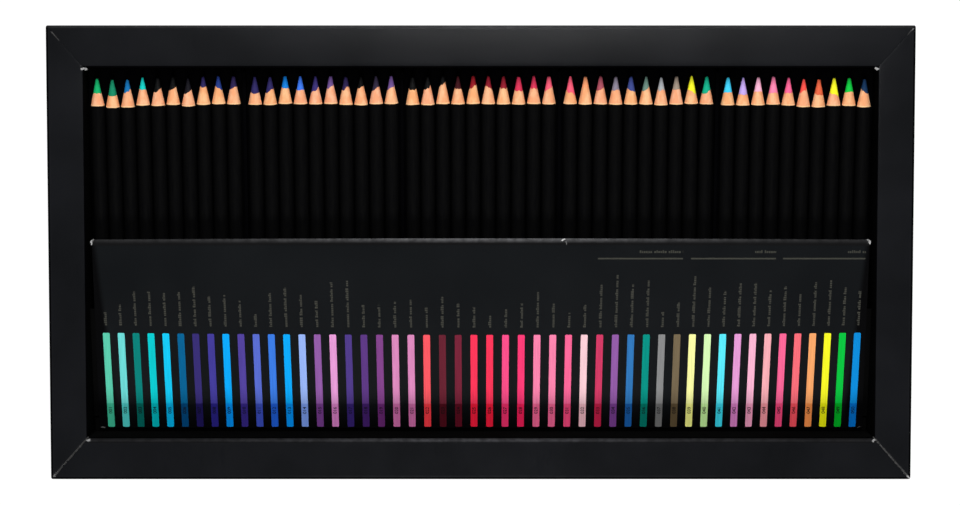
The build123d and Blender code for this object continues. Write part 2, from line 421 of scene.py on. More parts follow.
def board_material(name, dark, light, gloss, specular, painted_highlight):
    """Black paper over board: cloudy tone, paper fibre, uneven gloss and a few faint rubs.

    The last argument is the tone of a highlight painted along a fold or edge, where the mesh's tint says
    so.
    """
    material, tree = new_material(name)
    place = object_place(tree)
    cloud, fibre, colour = paper(tree, place, dark, light, light)
    rub_and_highlight = grain(tree, object_place(tree, (1, 0.16, 1)), 2.2 * MM, detail=5, contrast=(0.62, 0.8))
    # Painted highlight: a paler tone along folds and edges, in patches, where the mesh's tint says so.
    if painted_highlight:
        patchy = ranged(tree, grain(tree, place, 3 * MM, detail=4), (0.45, 1))
        line = calc(tree, "MULTIPLY", attribute(tree, "tint"), patchy)
        colour = blend(tree, line, colour, linear(painted_highlight))
    roughness = total(tree, ranged(tree, cloud, gloss), rub_and_highlight, -0.06)
    surface(tree, colour, roughness, total(tree, fibre, cloud, 0.5), PAPER_RELIEF, specular)
    return material


def card_material():
    """The card's black print, darker and more matte along its two sides and at the strips' feet as painted
    shade.
    """
    material, tree = new_material("index_black")
    place = object_place(tree)
    cloud, fibre, colour = paper(tree, place, (16, 18, 20), (20, 22, 24), (22, 24, 26))
    # Painted shade towards the card's foot and along its two sides
    foot = UP_PANEL.dot(PANEL_FOOT)
    values = {0: place, 1: UP_PANEL}
    up = node(tree, "ShaderNodeVectorMath", values, operation="DOT_PRODUCT").outputs["Value"]
    low = ranged(tree, up, (0, 1), (foot + PAINTED_SHADE_HIGH, foot + PAINTED_SHADE_LOW))
    across = calc(tree, "ABSOLUTE", node(tree, "ShaderNodeSeparateXYZ", {0: place}).outputs["X"])
    narrowed = total(tree, across, up, -PAINTED_SHADE_SLANT)
    edge = PANEL_HALF - PAINTED_SHADE_SLANT * (foot + PANEL_LENGTH)
    side = ranged(tree, narrowed, (0, 1), (edge - PAINTED_SHADE_FADE, edge))
    painted_shade = calc(tree, "MAXIMUM", low, side)
    colour = blend(tree, painted_shade, colour, linear((5, 5, 6)))
    roughness = total(tree, ranged(tree, cloud, (0.36, 0.42)), painted_shade, 0.15)
    surface(tree, colour, roughness, total(tree, fibre, cloud, 0.5), PAPER_RELIEF, 0.02)
    return material


def paint_material():
    """Matte black lacquer of a barrel, with faint marks along it."""
    material, tree = new_material("barrel_lacquer")
    streak = grain(tree, shifted_place(tree, (1, 0.06, 1)), 0.5 * MM, detail=4)
    speck = grain(tree, shifted_place(tree), 0.25 * MM, contrast=(0.55, 0.8))
    colour = blend(tree, streak, linear((6, 6, 7)), linear((9, 9, 9)))
    roughness = total(tree, ranged(tree, streak, (0.5, 0.6)), speck, 0.08)
    surface(tree, colour, roughness, total(tree, speck, streak, 0.4), 0.01 * MM, 0.02)
    return material


def wood_material():
    """Pale sharpened wood: grain lines along the pencil, a tint of its own, a paler foot."""
    material, tree = new_material("sharpened_wood")
    long_place = shifted_place(tree, (1, 0.05, 1))
    line = grain(tree, long_place, 0.32 * MM, detail=5, contrast=(0.38, 0.62))
    patch = grain(tree, shifted_place(tree, (1, 0.5, 1)), 3 * MM, contrast=(0.42, 0.6))
    pore = grain(tree, long_place, 0.16 * MM, detail=2, contrast=(0.6, 0.72))
    pinkness = attribute(tree, "pinkness")
    first = blend(tree, pinkness, linear((239, 169, 113)), linear((238, 161, 120)))
    second = blend(tree, pinkness, linear((244, 190, 136)), linear((244, 182, 145)))
    colour = blend(tree, patch, first, second)
    colour = blend(tree, ranged(tree, line, (0, 0.25)), colour, linear((234, 146, 94)))
    colour = blend(tree, ranged(tree, pore, (0, 0.14)), colour, linear((210, 128, 80)))
    colour = blend(tree, attribute(tree, "foot"), colour, linear((250, 196, 144)))
    roughness = ranged(tree, line, (0.62, 0.8))
    surface(tree, colour, roughness, total(tree, line, pore, -0.6), 0.03 * MM, 0.3)
    return material


def lead_material():
    """Waxy coloured lead, cut by the sharpener, in the tint stored on its mesh."""
    material, tree = new_material("coloured_lead")
    tint = attribute(tree, "tint", "Color")
    crumb = grain(tree, shifted_place(tree), 0.4 * MM, detail=4)
    cuts = grain(tree, shifted_place(tree, (0.15, 1, 0.15)), 0.3 * MM)
    colour = blend(tree, ranged(tree, crumb, (0, 0.1)), tint, linear((12, 12, 14)))
    colour = blend(tree, ranged(tree, cuts, (0, 0.008)), colour, linear((255, 255, 255)))
    roughness = ranged(tree, crumb, (0.4, 0.6))
    surface(tree, colour, roughness, total(tree, cuts, crumb, 0.7), 0.02 * MM, 0.06)
    return material


def ink_material(name, colour):
    """Printed ink, slightly broken by the card's fibre."""
    material, tree = new_material(name)
    fibre = grain(tree, object_place(tree), 0.3 * MM)
    worn = blend(tree, ranged(tree, fibre, (0, 0.3)), linear(colour), linear((34, 34, 34)))
    surface(tree, worn, ranged(tree, fibre, (0.4, 0.55)), fibre, 0.01 * MM, 0.02)
    return material


def strip_material():
    """Coloured printing ink in the tint stored on its mesh, with soft pencil-like streaks."""
    material, tree = new_material("strip_ink")
    tint = attribute(tree, "tint", "Color")
    streak = grain(tree, object_place(tree, (1, 0.03, 0.03)), 0.45 * MM, detail=4)
    fibre = grain(tree, object_place(tree), 0.3 * MM)
    colour = blend(tree, ranged(tree, streak, (0, 0.16)), tint, linear((20, 20, 24)))
    roughness = ranged(tree, fibre, (0.42, 0.56))
    surface(tree, colour, roughness, total(tree, fibre, streak, 0.5), 0.008 * MM, 0.02)
    return material


def core_material():
    """Bare grey-white board where the black paper is worn off, in the tint stored on its mesh."""
    material, tree = new_material("bare_board")
    tint = attribute(tree, "tint", "Color")
    fibre = grain(tree, object_place(tree), 0.2 * MM, detail=5)
    colour = blend(tree, ranged(tree, fibre, (0, 0.4)), tint, linear((70, 68, 66)))
    surface(tree, colour, ranged(tree, fibre, (0.75, 0.95)), fibre, 0.05 * MM, 0.2)
    return material


# ---- meshes ----

# What each type of mesh attribute calls its values
FIELDS = {"FLOAT": "value", "FLOAT_VECTOR": "vector", "FLOAT_COLOR": "color"}


def store(mesh, name, kind, values):
    """Stores values for a mesh's vertices under a name."""
    mesh.attributes.new(name, kind, "POINT").data.foreach_set(FIELDS[kind], values)


class Build:
    """Vertices and faces of one mesh, with a tint for each vertex."""

    def __init__(self):
        self.points = []
        self.faces = []
        self.tints = []

    def add(self, points, faces, tint=(1, 1, 1, 1)):
        """Adds points and faces numbered within them."""
        start = len(self.points)
        self.points += points
        self.faces += [[start + index for index in face] for face in faces]
        self.tints += [tint] * len(points)

    def slab(self, outline, low, high, place, tint=(1, 1, 1, 1)):
        """A closed prism over an outline, from height low to height high, where place puts it."""
        count = len(outline)
        points = [place(x, y, low) for x, y in outline] + [place(x, y, high) for x, y in outline]
        sides = [[i, (i + 1) % count, count + (i + 1) % count, count + i] for i in range(count)]
        lower = list(reversed(range(count)))
        self.add(points, [lower, list(range(count, 2 * count)), *sides], tint)

    def tint_by(self, shares):
        """Stores a share from 0 to 1 for each vertex as its tint."""
        self.tints = [(share, share, share, 1) for share in shares]

    def piece(self, name, materials, replaced=(), smooth=None):
        """Makes a piece of the tray and hides the CAD nodes that it replaces."""
        mesh = bpy.data.meshes.new(name)
        mesh.from_pydata(self.points, [], self.faces)
        store(mesh, "tint", "FLOAT_COLOR", [part for tint in self.tints for part in tint])
        return finished_piece(mesh, materials, "tray", replaced, smooth)


def finished_piece(mesh, materials, body, replaced, smooth, matrix=None):
    """Links a mesh as a piece that rides on its body. smooth is the angle of its sharp edges."""
    for material in materials:
        mesh.materials.append(material)
    if smooth is not None:
        mesh.shade_smooth()
        mesh.set_sharp_from_angle(angle=math.radians(smooth))
    mesh.update()
    made = bpy.data.objects.new(mesh.name, mesh)
    bpy.context.scene.collection.objects.link(made)
    if matrix is not None:
        made.matrix_world = matrix
    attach(made, body)
    if replaced:
        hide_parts(*replaced)
    return made


def bands(rows):
    """Quads between closed rows of points, with a cap at each end."""
    count = len(rows[0])
    last = (len(rows) - 1) * count
    faces = []
    for start in range(0, last, count):
        for i in range(count):
            a, b = start + i, start + (i + 1) % count
            faces.append([a, b, b + count, a + count])
    return [*faces, list(reversed(range(count))), list(range(last, last + count))]


def arc(centre, radius, start, stop, steps):
    """Points of an arc, angles in degrees."""
    angles = [math.radians(start + (stop - start) * i / steps) for i in range(steps + 1)]
    return [(centre[0] + radius * math.cos(a), centre[1] + radius * math.sin(a)) for a in angles]


def blot(rng, centre, size, turn, points=11):
    """An irregular closed outline about centre."""
    outline = []
    for i in range(points):
        angle = math.tau * i / points
        reach = 1 + rng.uniform(-0.35, 0.35)
        x, y = size[0] / 2 * reach * math.cos(angle), size[1] / 2 * reach * math.sin(angle)
        outline.append((
            centre[0] + x * math.cos(turn) - y * math.sin(turn),
            centre[1] + x * math.sin(turn) + y * math.cos(turn),
        ))
    return outline


# ---- rim ----

RIM_LOW, RIM_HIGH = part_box("rim_bands")


def inner_edges():
    """Half width of the well, and its front and back edge, from the walls' node."""
    walls = NODES["inner_walls"].data.vertices
    half = min(abs(v.co.x) for v in walls)
    front = max(v.co.y for v in walls if v.co.y < 0)
    back = min(v.co.y for v in walls if v.co.y > 0)
    return half, front, back


WELL_SIDE, WELL_FRONT, WELL_BACK = inner_edges()


def face_height(x, y):
    """Height of the rim's face, which is slightly crowned and wavy."""
    across = (RIM_HIGH.x - abs(x)) / (RIM_HIGH.x - WELL_SIDE)
    along = (RIM_HIGH.y - abs(y)) / (RIM_HIGH.y - WELL_BACK)
    share = min(max(min(across, along), 0), 1)
    wave = noise.noise(Vector((x, y, 0)) / WAVE_LENGTH) * 0.5 + 0.5
    return RIM_HIGH.z - RIM_WAVE * wave - RIM_CROWN * (2 * share - 1) ** 2


def middle_highlight(x, least):
    """How strong a painted highlight is at a place across the box: 1 in the middle, least far from it."""
    return least + (1 - least) * math.exp(-(x / HIGHLIGHT_SPREAD) ** 2)


def rim_profile(width, inner_fold):
    """Outline across a band: distance from the outer edge, drop below the face, and share of painted
    highlight.
    """
    outer = arc((OUTER_FOLD, OUTER_FOLD), OUTER_FOLD, 180, 270, FOLD_STEPS)
    outer = [(inward, drop, 1) for inward, drop in outer]
    painted_highlight = [(OUTER_FOLD + beyond, 0, rub_and_highlight) for beyond, rub_and_highlight in FOLD_HIGHLIGHT]
    flat_start = OUTER_FOLD + FLAT_START
    flat_length = width - flat_start - inner_fold
    flat = [(flat_start + flat_length * i / FLAT_STEPS, 0, 0) for i in range(FLAT_STEPS)]
    fold_start = width - inner_fold
    inner = arc((fold_start, inner_fold), inner_fold, 270, 360, FOLD_STEPS)
    # On the inner fold the painted highlight is strongest half way round.
    inner = [(x, drop, math.sin(math.pi * (x - fold_start) / inner_fold)) for x, drop in inner]
    return [*outer, *painted_highlight, *flat, *inner]


def stations(half):
    """Places along a band, from -half to half, closer together at its ends."""
    ends = [-half + distance * MM for distance in (0, 0.15, 0.35, 0.7, 1.2, 2.5, 5, 9)]
    start, length = -half + BAND_END, 2 * half - 2 * BAND_END
    inside = [start + length * i / BAND_STEPS for i in range(BAND_STEPS + 1)]
    return ends + inside + [-value for value in reversed(ends)]


def corner_cut(inward):
    """How far the rounded outer corner takes back a band's end, at a distance from its edge."""
    rounded = max(RIM_CORNER - inward, 0)
    return RIM_CORNER - math.sqrt(RIM_CORNER**2 - rounded**2)


def band_reach(half, gap, inward, slant):
    """Where a band ends, at a distance from its outer edge. The seam opens to a small notch."""
    notch = CORNER_NOTCH * max(1 - inward / NOTCH_DEPTH, 0)
    return half - max(gap + notch + inward * slant, corner_cut(inward))


def band_row(profile, along, outward, edge, half, slant, share):
    """The points across a band, face first and then its underside, at a share of its length."""
    seam = FRONT_SEAM if (along * share + outward).y < 0 else BACK_SEAM
    gap = seam / 2 * math.sqrt(1 + slant * slant)
    row = []
    for inward, drop, _ in profile:
        reach = band_reach(half, gap, inward, slant)
        spot = along * (share * reach) + outward * (edge - inward)
        dip = SEAM_DIP * seam * math.exp(-(1 - abs(share)) * reach / SEAM_DIP_SPREAD)
        row.append(Vector((spot.x, spot.y, face_height(spot.x, spot.y) - drop - dip)))
    return row + [Vector((corner.x, corner.y, RIM_LOW.z)) for corner in (row[-1], row[0])]


def rim_band(name, along, outward, edge, inner_edge, half, inner_half, inner_fold, materials):
    """One mitred band of the rim. Its materials are those of its face, outer and inner fold."""
    width = edge - inner_edge
    slant = (half - inner_half) / width
    profile = rim_profile(width, inner_fold)
    shares = [station / half for station in stations(half)]
    rows = [band_row(profile, along, outward, edge, half, slant, share) for share in shares]
    build = Build()
    build.add([point for row in rows for point in row], bands(rows))
    # The tint is the share of painted highlight, strongest in the middle across the box.
    highlights = [rub_and_highlight for _, _, rub_and_highlight in profile] + [0, 0]
    build.tint_by([rub_and_highlight * middle_highlight(row[0].x, RIM_LEAST_HIGHLIGHT) for row in rows for rub_and_highlight in highlights])
    made = build.piece(name, materials, replaced=["rim_bands"], smooth=35)
    count = len(highlights)
    for polygon in made.data.polygons[:(len(rows) - 1) * count]:
        around = polygon.index % count
        if around < FOLD_STEPS or around == count - 1:
            polygon.material_index = 1
        elif around >= count - 3 - FOLD_STEPS:
            polygon.material_index = 2


def rim(papers):
    """Four mitred bands round the well, the front's inner and the back's outer fold painted pale as
    highlights.
    """
    x, y = Vector((1, 0, 0)), Vector((0, 1, 0))
    side, end = RIM_HIGH.x, RIM_HIGH.y
    face, fold = papers["rim_paper"], papers["fold_painted_shade"]
    front = (FRONT_INNER_FOLD, [face, fold, papers["front_fold"]])
    back = (BACK_INNER_FOLD, [face, papers["back_fold"], fold])
    flank = (SIDE_INNER_FOLD, [face, fold, fold])
    rim_band("rim_front", x, -y, end, -WELL_FRONT, side, WELL_SIDE, *front)
    rim_band("rim_back", -x, y, end, WELL_BACK, side, WELL_SIDE, *back)
    rim_band("rim_left", -y, -x, side, WELL_SIDE, end, WELL_BACK, *flank)
    rim_band("rim_right", y, x, side, WELL_SIDE, end, WELL_BACK, *flank)


# ---- worn paper ----

# Bare spots: place across and up, size across and up in millimetres, turn in radians, grey tone
RIM_SPOTS = (
    (-WELL_SIDE - 0.5 * MM, WELL_BACK - 0.7 * MM, 2.0, 1.3, 0.0, 165),
    (-WELL_SIDE + 1.3 * MM, WELL_BACK - 0.7 * MM, 1.9, 1.1, 0.0, 150),
    (WELL_SIDE - 0.7 * MM, WELL_BACK - 0.5 * MM, 2.4, 1.4, -0.6, 165),
    (-WELL_SIDE + 0.4 * MM, WELL_FRONT - 1.1 * MM, 2.0, 1.3, 0.1, 150),
    (WELL_SIDE - 0.2 * MM, WELL_FRONT - 1.2 * MM, 2.3, 1.2, 0.9, 150),
    (RIM_HIGH.x - 1.7 * MM, RIM_HIGH.y - 2.0 * MM, 1.4, 0.8, 0.8, 110),
    (RIM_HIGH.x - 1.2 * MM, RIM_LOW.y + 1.2 * MM, 1.6, 0.9, -0.8, 165),
)
# Worn seams by side: grey at the front, then start, end and grey of the streak at the back
SEAM_WEAR = ((LEFT, 49, 0.08, 0.3, 78), (RIGHT, 59, 0.0, 0.14, 80))


def on_rim(x, y, lift):
    """A point on the rim's face."""
    return Vector((x, y, face_height(x, y) + lift))


def front_wear(share):
    """A front seam's width and extra grey, by the share of its length."""
    return (1.1 - 0.3 * share) * MM, 55 * max(1 - share / 0.14, 0)


def back_wear(share):
    """A back streak's width and extra grey, by the share of its length."""
    return 0.6 * MM, -38 * share


def worn_line(build, rng, start, end, cover, grey, wear):
    """Slivers of bare board along a line on the rim. wear gives their width and extra grey."""
    length = (end - start).length
    direction = (end - start) / length
    turn = math.atan2(direction.y, direction.x)
    place = 0.0
    while place < length:
        step = rng.uniform(0.5, 1.3) * MM
        if rng.random() < cover:
            width, extra = wear(place / length)
            centre = start + direction * (place + step / 2)
            tone = (grey + extra) * rng.uniform(0.75, 1.1)
            size = (step * 1.15, width * rng.uniform(0.6, 1.2))
            outline = blot(rng, centre, size, turn, points=8)
            build.slab(outline, -INK_SINK, SEAM_LIFT, on_rim, linear((tone,) * 3))
        place += step


def worn_seams(build, rng):
    """Worn mitre seams: long ones at the two front corners, short streaks at the back."""
    for side, front_grey, first, last, back_grey in SEAM_WEAR:
        outer = Vector((side * (RIM_HIGH.x - SEAM_START), RIM_LOW.y + SEAM_START))
        inner = Vector((side * WELL_SIDE, WELL_FRONT))
        worn_line(build, rng, outer, inner, 0.97, front_grey, front_wear)
        outer.y, inner.y = RIM_HIGH.y - SEAM_START, WELL_BACK
        start, end = outer.lerp(inner, first), outer.lerp(inner, last)
        worn_line(build, rng, start, end, 1.0, back_grey, back_wear)


def worn_spots(build, rng, spots, place):
    """Bare spots on the face that place gives."""
    for x, y, across, up, turn, grey in spots:
        outline = blot(rng, (x, y), (across * MM, up * MM), turn)
        build.slab(outline, -SPOT_SINK, SPOT_LIFT, place, linear((grey,) * 3))


def worn_edges(material):
    """All the bare board that shows on the rim and the panel, as one piece."""
    rng = random.Random(WEAR_SEED)
    build = Build()
    worn_seams(build, rng)
    worn_spots(build, rng, RIM_SPOTS, on_rim)
    worn_spots(build, rng, PANEL_SPOTS, on_panel)
    build.piece("worn_edges", [material])


# ---- index panel ----

def panel_axes():
    """The panel's lower upper-face edge, its direction up the slope and its length."""
    points = [v.co for v in NODES["index_panel"].data.vertices]
    foot = min(points, key=lambda p: p.y)
    head = max(points, key=lambda p: p.z)
    slope = math.atan2(head.z - foot.z, head.y - foot.y)
    length = math.hypot(head.y - foot.y, head.z - foot.z) + PANEL_HEM
    half = max(p.x for p in points)
    return Vector((0, foot.y, foot.z)), slope, length, half


PANEL_FOOT, PANEL_SLOPE, PANEL_LENGTH, PANEL_HALF = panel_axes()
UP_PANEL = Vector((0, math.cos(PANEL_SLOPE), math.sin(PANEL_SLOPE)))
OFF_PANEL = Vector((0, -math.sin(PANEL_SLOPE), math.cos(PANEL_SLOPE)))

# Bare spots on the card's corners and foot, and one nick in its hem, given as on the rim
PANEL_TOP = PANEL_LENGTH - 0.5 * MM
PANEL_SPOTS = (
    (-PANEL_HALF - 0.1 * MM, PANEL_TOP - 1.4 * MM, 1.0, 2.6, 0.1, 185),
    (-PANEL_HALF + 0.6 * MM, PANEL_TOP - 0.2 * MM, 0.8, 1.8, -0.5, 130),
    (PANEL_HALF - 0.1 * MM, PANEL_TOP - 1.2 * MM, 1.1, 2.2, 0.1, 190),
    (PANEL_HALF - 0.9 * MM, PANEL_TOP - 0.2 * MM, 0.9, 1.9, 0.6, 140),
    (41.5 * MM, PANEL_TOP + 0.1 * MM, 2.4, 0.9, 0.5, 210),
    (43.0 * MM, PANEL_TOP - 1.5 * MM, 0.6, 1.8, 0.1, 110),
    (-PANEL_HALF + 2.0 * MM, 0.4 * MM, 2.4, 0.8, 0.0, 90),
    (PANEL_HALF - 1.6 * MM, 0.6 * MM, 1.8, 0.7, 0.6, 55),
)


def on_panel(x, up, lift):
    """A point given across the panel, up its slope and off its face."""
    return PANEL_FOOT + Vector((x, 0, 0)) + UP_PANEL * up + OFF_PANEL * lift


def printed(x, up, lift):
    """A point of the print, whose middle sags slightly towards the panel's foot."""
    bow = PRINT_BOW * (1 - (x / PANEL_HALF) ** 2) * up / PANEL_LENGTH
    return on_panel(x, up - bow, lift)


def panel_profile():
    """Closed outline of the card: up the slope, and off its face. Its upper edge curls down."""
    start = PANEL_LENGTH - HEM_RUN
    curl = arc((0, 0), 1, 90, 0, 14)
    hem = [(start + HEM_RUN * x, -HEM_DROP * (1 - y)) for x, y in curl]
    flat = [(start * share, 0) for share in (0.2, 0.4, 0.6, 0.8)]
    under = [(PANEL_LENGTH - 0.1 * MM, -PANEL_BOARD)]
    return [(0, -PANEL_BOARD), (0, -0.1 * MM), (0.1 * MM, 0), *flat, *hem, *under]


def hem_bow(x, up):
    """How far the card's upper edge drops back towards its two ends."""
    share = max(up - PANEL_LENGTH + 2 * HEM_RUN, 0) / (2 * HEM_RUN)
    return HEM_BOW * share * (x / PANEL_HALF) ** 2


def panel_card(materials):
    """The sloping card itself, its curled upper edge in the second material."""
    profile = list(reversed(panel_profile()))
    places = [PANEL_HALF * (2 * i / PANEL_STEPS - 1) for i in range(PANEL_STEPS + 1)]
    rows = [[on_panel(x, up - hem_bow(x, up), off) for up, off in profile] for x in places]
    build = Build()
    build.add([point for row in rows for point in row], bands(rows))
    # The tint paints a highlight along the curled edge, strongest in the middle across the box.
    depths = [max(1 - (PANEL_LENGTH - up) / HEM_HIGHLIGHT_DEPTH, 0) for up, _ in profile]
    build.tint_by([middle_highlight(row[0].x, HEM_LEAST_HIGHLIGHT) * depth for row in rows for depth in depths])
    made = build.piece("index_card", materials, replaced=["index_panel"], smooth=40)
    hem_start = PANEL_LENGTH - 0.7 * HEM_RUN
    for polygon in made.data.polygons[:PANEL_STEPS * len(profile)]:
        up = profile[polygon.index % len(profile)][0]
        polygon.material_index = 1 if up > hem_start else 0


def strip_x(index, up):
    """Where a printed strip's centre line lies across the panel: the strips fan in slightly."""
    share = index / (len(PENCILS) - 1)
    across = STRIP_FIRST + (STRIP_LAST - STRIP_FIRST) * share
    sway = STRIP_SWAY + TOP_SWAY * up / STRIP_HIGH
    across -= sway * math.sin(math.tau * share)
    return across * (STRIP_FAN + (1 - STRIP_FAN) * up / STRIP_HIGH)


def strip_outline(index, low, high, low_cut, high_cut):
    """Outline of part of a strip, each end's corners rounded by its cut."""
    rows = []
    for end, cut in ((low, low_cut), (high, -high_cut)):
        corner = [(abs(cut) * x - STRIP_WIDTH / 2, end + cut * up) for x, up in CORNER_SHAPE]
        rows.append(corner + [(-x, up) for x, up in reversed(corner)])
    outline = []
    for x, up in rows[0] + rows[1][::-1]:
        spot = (x + strip_x(index, up), up)
        if not outline or (Vector(spot) - Vector(outline[-1])).length > 0.001 * MM:
            outline.append(spot)
    return outline


def strips(material):
    """Fifty printed strips, each with a darker foot that holds its number."""
    build = Build()
    for index, (_, colour, _, _) in enumerate(PENCILS):
        tint = linear(PALETTE[colour])
        shade = (*(FOOT_SHADE * part**FOOT_DEPTH for part in tint[:3]), 1.0)
        upper = strip_outline(index, STRIP_CODE, STRIP_HIGH, 0, STRIP_CORNER)
        lower = strip_outline(index, STRIP_LOW, STRIP_CODE, STRIP_CORNER, 0)
        build.slab(upper, -INK_SINK, INK, printed, tint)
        build.slab(lower, -INK_SINK, INK, printed, shade)
    build.piece("index_strips", [material])


def bar(build, x_low, x_high, low, high, place):
    """A printed rectangle on the card."""
    outline = [(x_low, low), (x_high, low), (x_high, high), (x_low, high)]
    build.slab(outline, -INK_SINK, INK, place)


def word_bars(rng, length):
    """Start, end and height of the small plain bars that fill a length like words."""
    place, bars, left_in_word = 0.0, [], rng.randint(4, 7)
    while place < length:
        step = rng.uniform(0.55, 0.95) * MM
        height = rng.choice((0.7, 0.7, 1.0)) * LETTER_HEIGHT
        bars.append((place, min(place + step, length), height))
        left_in_word -= 1
        place += step + (LETTER_GAP if left_in_word else WORD_GAP)
        left_in_word = left_in_word or rng.randint(4, 7)
    return bars


def names(material):
    """Plain bars above the strips, turned up the card, and three ruled headings."""
    rng = random.Random(NAME_SEED)
    build = Build()
    lengths = [length * MM for bay in NAME_LENGTHS for length in bay]
    for index, length in enumerate(lengths):
        for start, end, height in word_bars(rng, length):
            right = strip_x(index, NAME_LOW + start) + LETTER_HEIGHT / 2
            bar(build, right - height, right, NAME_LOW + start, NAME_LOW + end, printed)
    for left, right, heading in RULES:
        low = RULE_PLACE - RULE_WIDTH / 2
        bar(build, left * MM, right * MM, low, low + RULE_WIDTH, on_panel)
        for start, end, height in word_bars(rng, (right - heading) * MM):
            x_low, x_high = heading * MM + start, heading * MM + end
            bar(build, x_low, x_high, HEADING_PLACE, HEADING_PLACE + height, on_panel)
    build.piece("index_marks", [material])


def digits(text):
    """Mesh points and faces of plain digits lying flat, centred on the origin."""
    curve = bpy.data.curves.new("digits", "FONT")
    curve.body = text
    curve.size = NUMBER_SIZE
    curve.align_x = curve.align_y = "CENTER"
    curve.resolution_u = 3
    curve.offset = NUMBER_WEIGHT
    holder = bpy.data.objects.new("digits", curve)
    bpy.context.scene.collection.objects.link(holder)
    bpy.context.view_layer.update()
    mesh = bpy.data.meshes.new_from_object(holder.evaluated_get(bpy.context.evaluated_depsgraph_get()))
    points = [v.co.copy() for v in mesh.vertices]
    faces = [list(polygon.vertices) for polygon in mesh.polygons]
    bpy.data.objects.remove(holder)
    bpy.data.curves.remove(curve)
    bpy.data.meshes.remove(mesh)
    return points, faces


def numbers(material):
    """A plain running number on each strip's foot, turned up the card."""
    build = Build()
    for index in range(len(PENCILS)):
        points, faces = digits(f"{index + 1:03d}")
        centre = strip_x(index, NUMBER_PLACE)
        build.add([printed(centre - p.y, NUMBER_PLACE + p.x, NUMBER_LIFT) for p in points], faces)
    build.piece("index_numbers", [material])


# ---- pencils ----

def pencil_line(name, butt):
    """A pencil's length and the slope of its axis, from its node's mesh."""
    points = [v.co for v in NODES[name].data.vertices]
    reach = max((p - butt).length for p in points)
    tip_points = [p for p in points if (p - butt).length > reach - 0.05 * MM]
    tip = sum(tip_points, Vector()) / len(tip_points)
    return (tip - butt).length, math.atan2(tip.z - butt.z, tip.y - butt.y)


def sharpened(painted, point):
    """Radius of the sharpened cone by the place along the pencil, down to its blunt point."""
    def radius(along):
        share = min(max((along - painted) / SHARPENED_LENGTH, 0), 1)
        return RADIUS + (point - RADIUS) * share
    return radius


def ring(radius, along, wobble=0.0, seed=0.0):
    """A closed row of points about the pencil's axis. Radius and along may depend on the angle."""
    row = []
    for i in range(SEGMENTS):
        angle = math.tau * i / SEGMENTS
        r = radius(angle) if callable(radius) else radius
        y = along(angle) if callable(along) else along
        if wobble:
            r += wobble * noise.noise(Vector((math.cos(angle) * 2, math.sin(angle) * 2, y / MM + seed)))
        row.append(Vector((r * math.cos(angle), y, r * math.sin(angle))))
    return row


def wood_edge(painted, exposed, lower_side, rng):
    """Where wood gives way to lead, by the angle about the axis."""
    middle = painted + (1 - exposed) * SHARPENED_LENGTH
    tilt = WOOD_TILT * lower_side
    seed = rng.uniform(0, 90)

    def edge(angle):
        ragged = noise.noise(Vector((math.cos(angle) * 1.3, math.sin(angle) * 1.3, seed)))
        return middle - tilt * math.cos(angle) + WOOD_WAVE * ragged
    return edge


def cone_row(start, end, share, cone, sink, relief, seed):
    """A row just below the cone, a share of the way from one edge to another."""
    def along(angle):
        return start(angle) + (end(angle) - start(angle)) * share
    return ring(lambda angle: cone(along(angle)) - sink, along, wobble=relief, seed=seed)


def casing_rows(painted, cone, edge, seed):
    """Rows of the casing from the bore round the outside to the bore, and how many are painted."""
    def cut(angle):
        return painted + PAINT_WAVE * noise.noise(Vector((math.cos(angle), math.sin(angle), seed)))

    bore = LEAD_RADIUS + LEAD_GLUE
    rows = [ring(bore, 0), ring(RADIUS - BUTT_ROUND, 0)]
    rows += [ring(RADIUS - BUTT_EASE, BUTT_EASE), ring(RADIUS, BUTT_ROUND)]
    rows += [ring(RADIUS, painted * share) for share in (0.2, 0.4, 0.6, 0.8, 0.95)]
    rows.append(ring(RADIUS, lambda a: cut(a) - PAINT_TAPER))
    rows.append(ring(RADIUS - PAINT_DEPTH, lambda a: cut(a) - PAINT_DEPTH))
    paint_rows = len(rows)
    for share in (0.0, 0.04, 0.1, 0.25, 0.45, 0.65, 0.85, 1.0):
        rows.append(cone_row(cut, edge, share, cone, WOOD_SINK, WOOD_RELIEF, seed))
    rows.append(ring(lambda a: cone(edge(a)) - LIP_SINK, lambda a: edge(a) - LIP_SETBACK))
    rows.append(ring(bore, painted - BORE_END))
    return rows, paint_rows


def lead_rows(painted, length, point, cone, edge, seed):
    """Rows of the lead from its butt end to its blunt, rounded point."""
    rows = [ring(LEAD_RADIUS, 0), ring(LEAD_RADIUS, painted - BORE_END)]
    rows.append(ring(lambda a: cone(edge(a)) - ROOT_SINK, lambda a: edge(a) - ROOT_SETBACK))
    tip = length - 0.8 * point
    for share in (0.02, 0.12, 0.3, 0.5, 0.7, 0.86, 1.0):
        sink, relief = LEAD_SINK * (1 - share), LEAD_RELIEF * (1 - share)
        rows.append(cone_row(edge, lambda a: tip, share, cone, sink, relief, seed))
    blunt = cone(tip)
    for turn in (25, 50, 70, 84):
        angle = math.radians(turn)
        rows.append(ring(blunt * math.cos(angle), tip + (length - tip) * math.sin(angle)))
    return rows


def tube_faces(rows):
    """Quads between closed rows, joined last to first."""
    count = len(rows[0])
    faces = []
    for row in range(len(rows)):
        below, above = row * count, (row + 1) % len(rows) * count
        for i in range(count):
            j = (i + 1) % count
            faces.append([below + j, below + i, above + i, above + j])
    return faces


def capped_faces(rows):
    """Quads between closed rows, with a cap at both ends."""
    return [list(reversed(face)) for face in bands(rows)]


def pencil_mesh(name, rows, faces, shift):
    """A mesh along the pencil's own axis, which stores its shift."""
    mesh = bpy.data.meshes.new(name)
    mesh.from_pydata([point for row in rows for point in row], [], faces)
    store(mesh, "shift", "FLOAT_VECTOR", shift * len(mesh.vertices))
    return mesh


